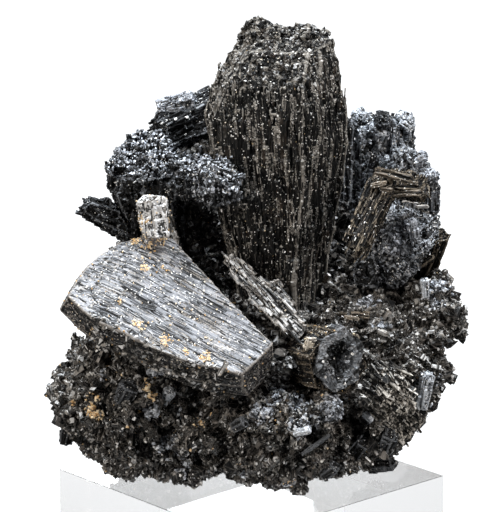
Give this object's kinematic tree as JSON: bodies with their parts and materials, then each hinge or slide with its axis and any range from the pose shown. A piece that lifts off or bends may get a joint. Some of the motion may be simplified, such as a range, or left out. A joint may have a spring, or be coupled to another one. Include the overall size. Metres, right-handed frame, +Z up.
{
  "type": "black tourmaline specimen on a block",
  "caption": "Black schorl tourmaline specimen: striated crystals standing in a granular mass of small ones, resting on a clear square display block.",
  "frame": {"origin": "centre of the display block's underside", "axes": "+Z up, +X to the right and +Y away from someone who faces the specimen's front"},
  "size_m": [0.0639, 0.0584, 0.0886],
  "materials": {
    "schorl_black": "vitreous black with brown tints, striated",
    "schorl_silver_sheen": "grey silky sheen along fine striations",
    "schorl_brown": "brownish black, splintery",
    "schorl_grains": "small black crystals with ochre stains",
    "clear_acrylic": "clear, polished"
  },
  "bodies": {
    "root": {"upright_crystal": "schorl_black", "leaning_crystal": "schorl_silver_sheen", "hexagonal_crystal": "schorl_black", "left_stub_crystals": "schorl_black", "right_back_crystals": "schorl_black", "right_block_crystal": "schorl_black", "blade_crystals": "schorl_brown", "splinter_crystals": "schorl_silver_sheen", "back_left_crystal": "schorl_black", "side_point_crystal": "schorl_black", "pale_crystal": "schorl_silver_sheen", "small_block_crystal": "schorl_black", "right_edge_crystal": "schorl_brown", "granular_mass": "schorl_grains", "display_block": "clear_acrylic"}
  },
  "joints": []
}
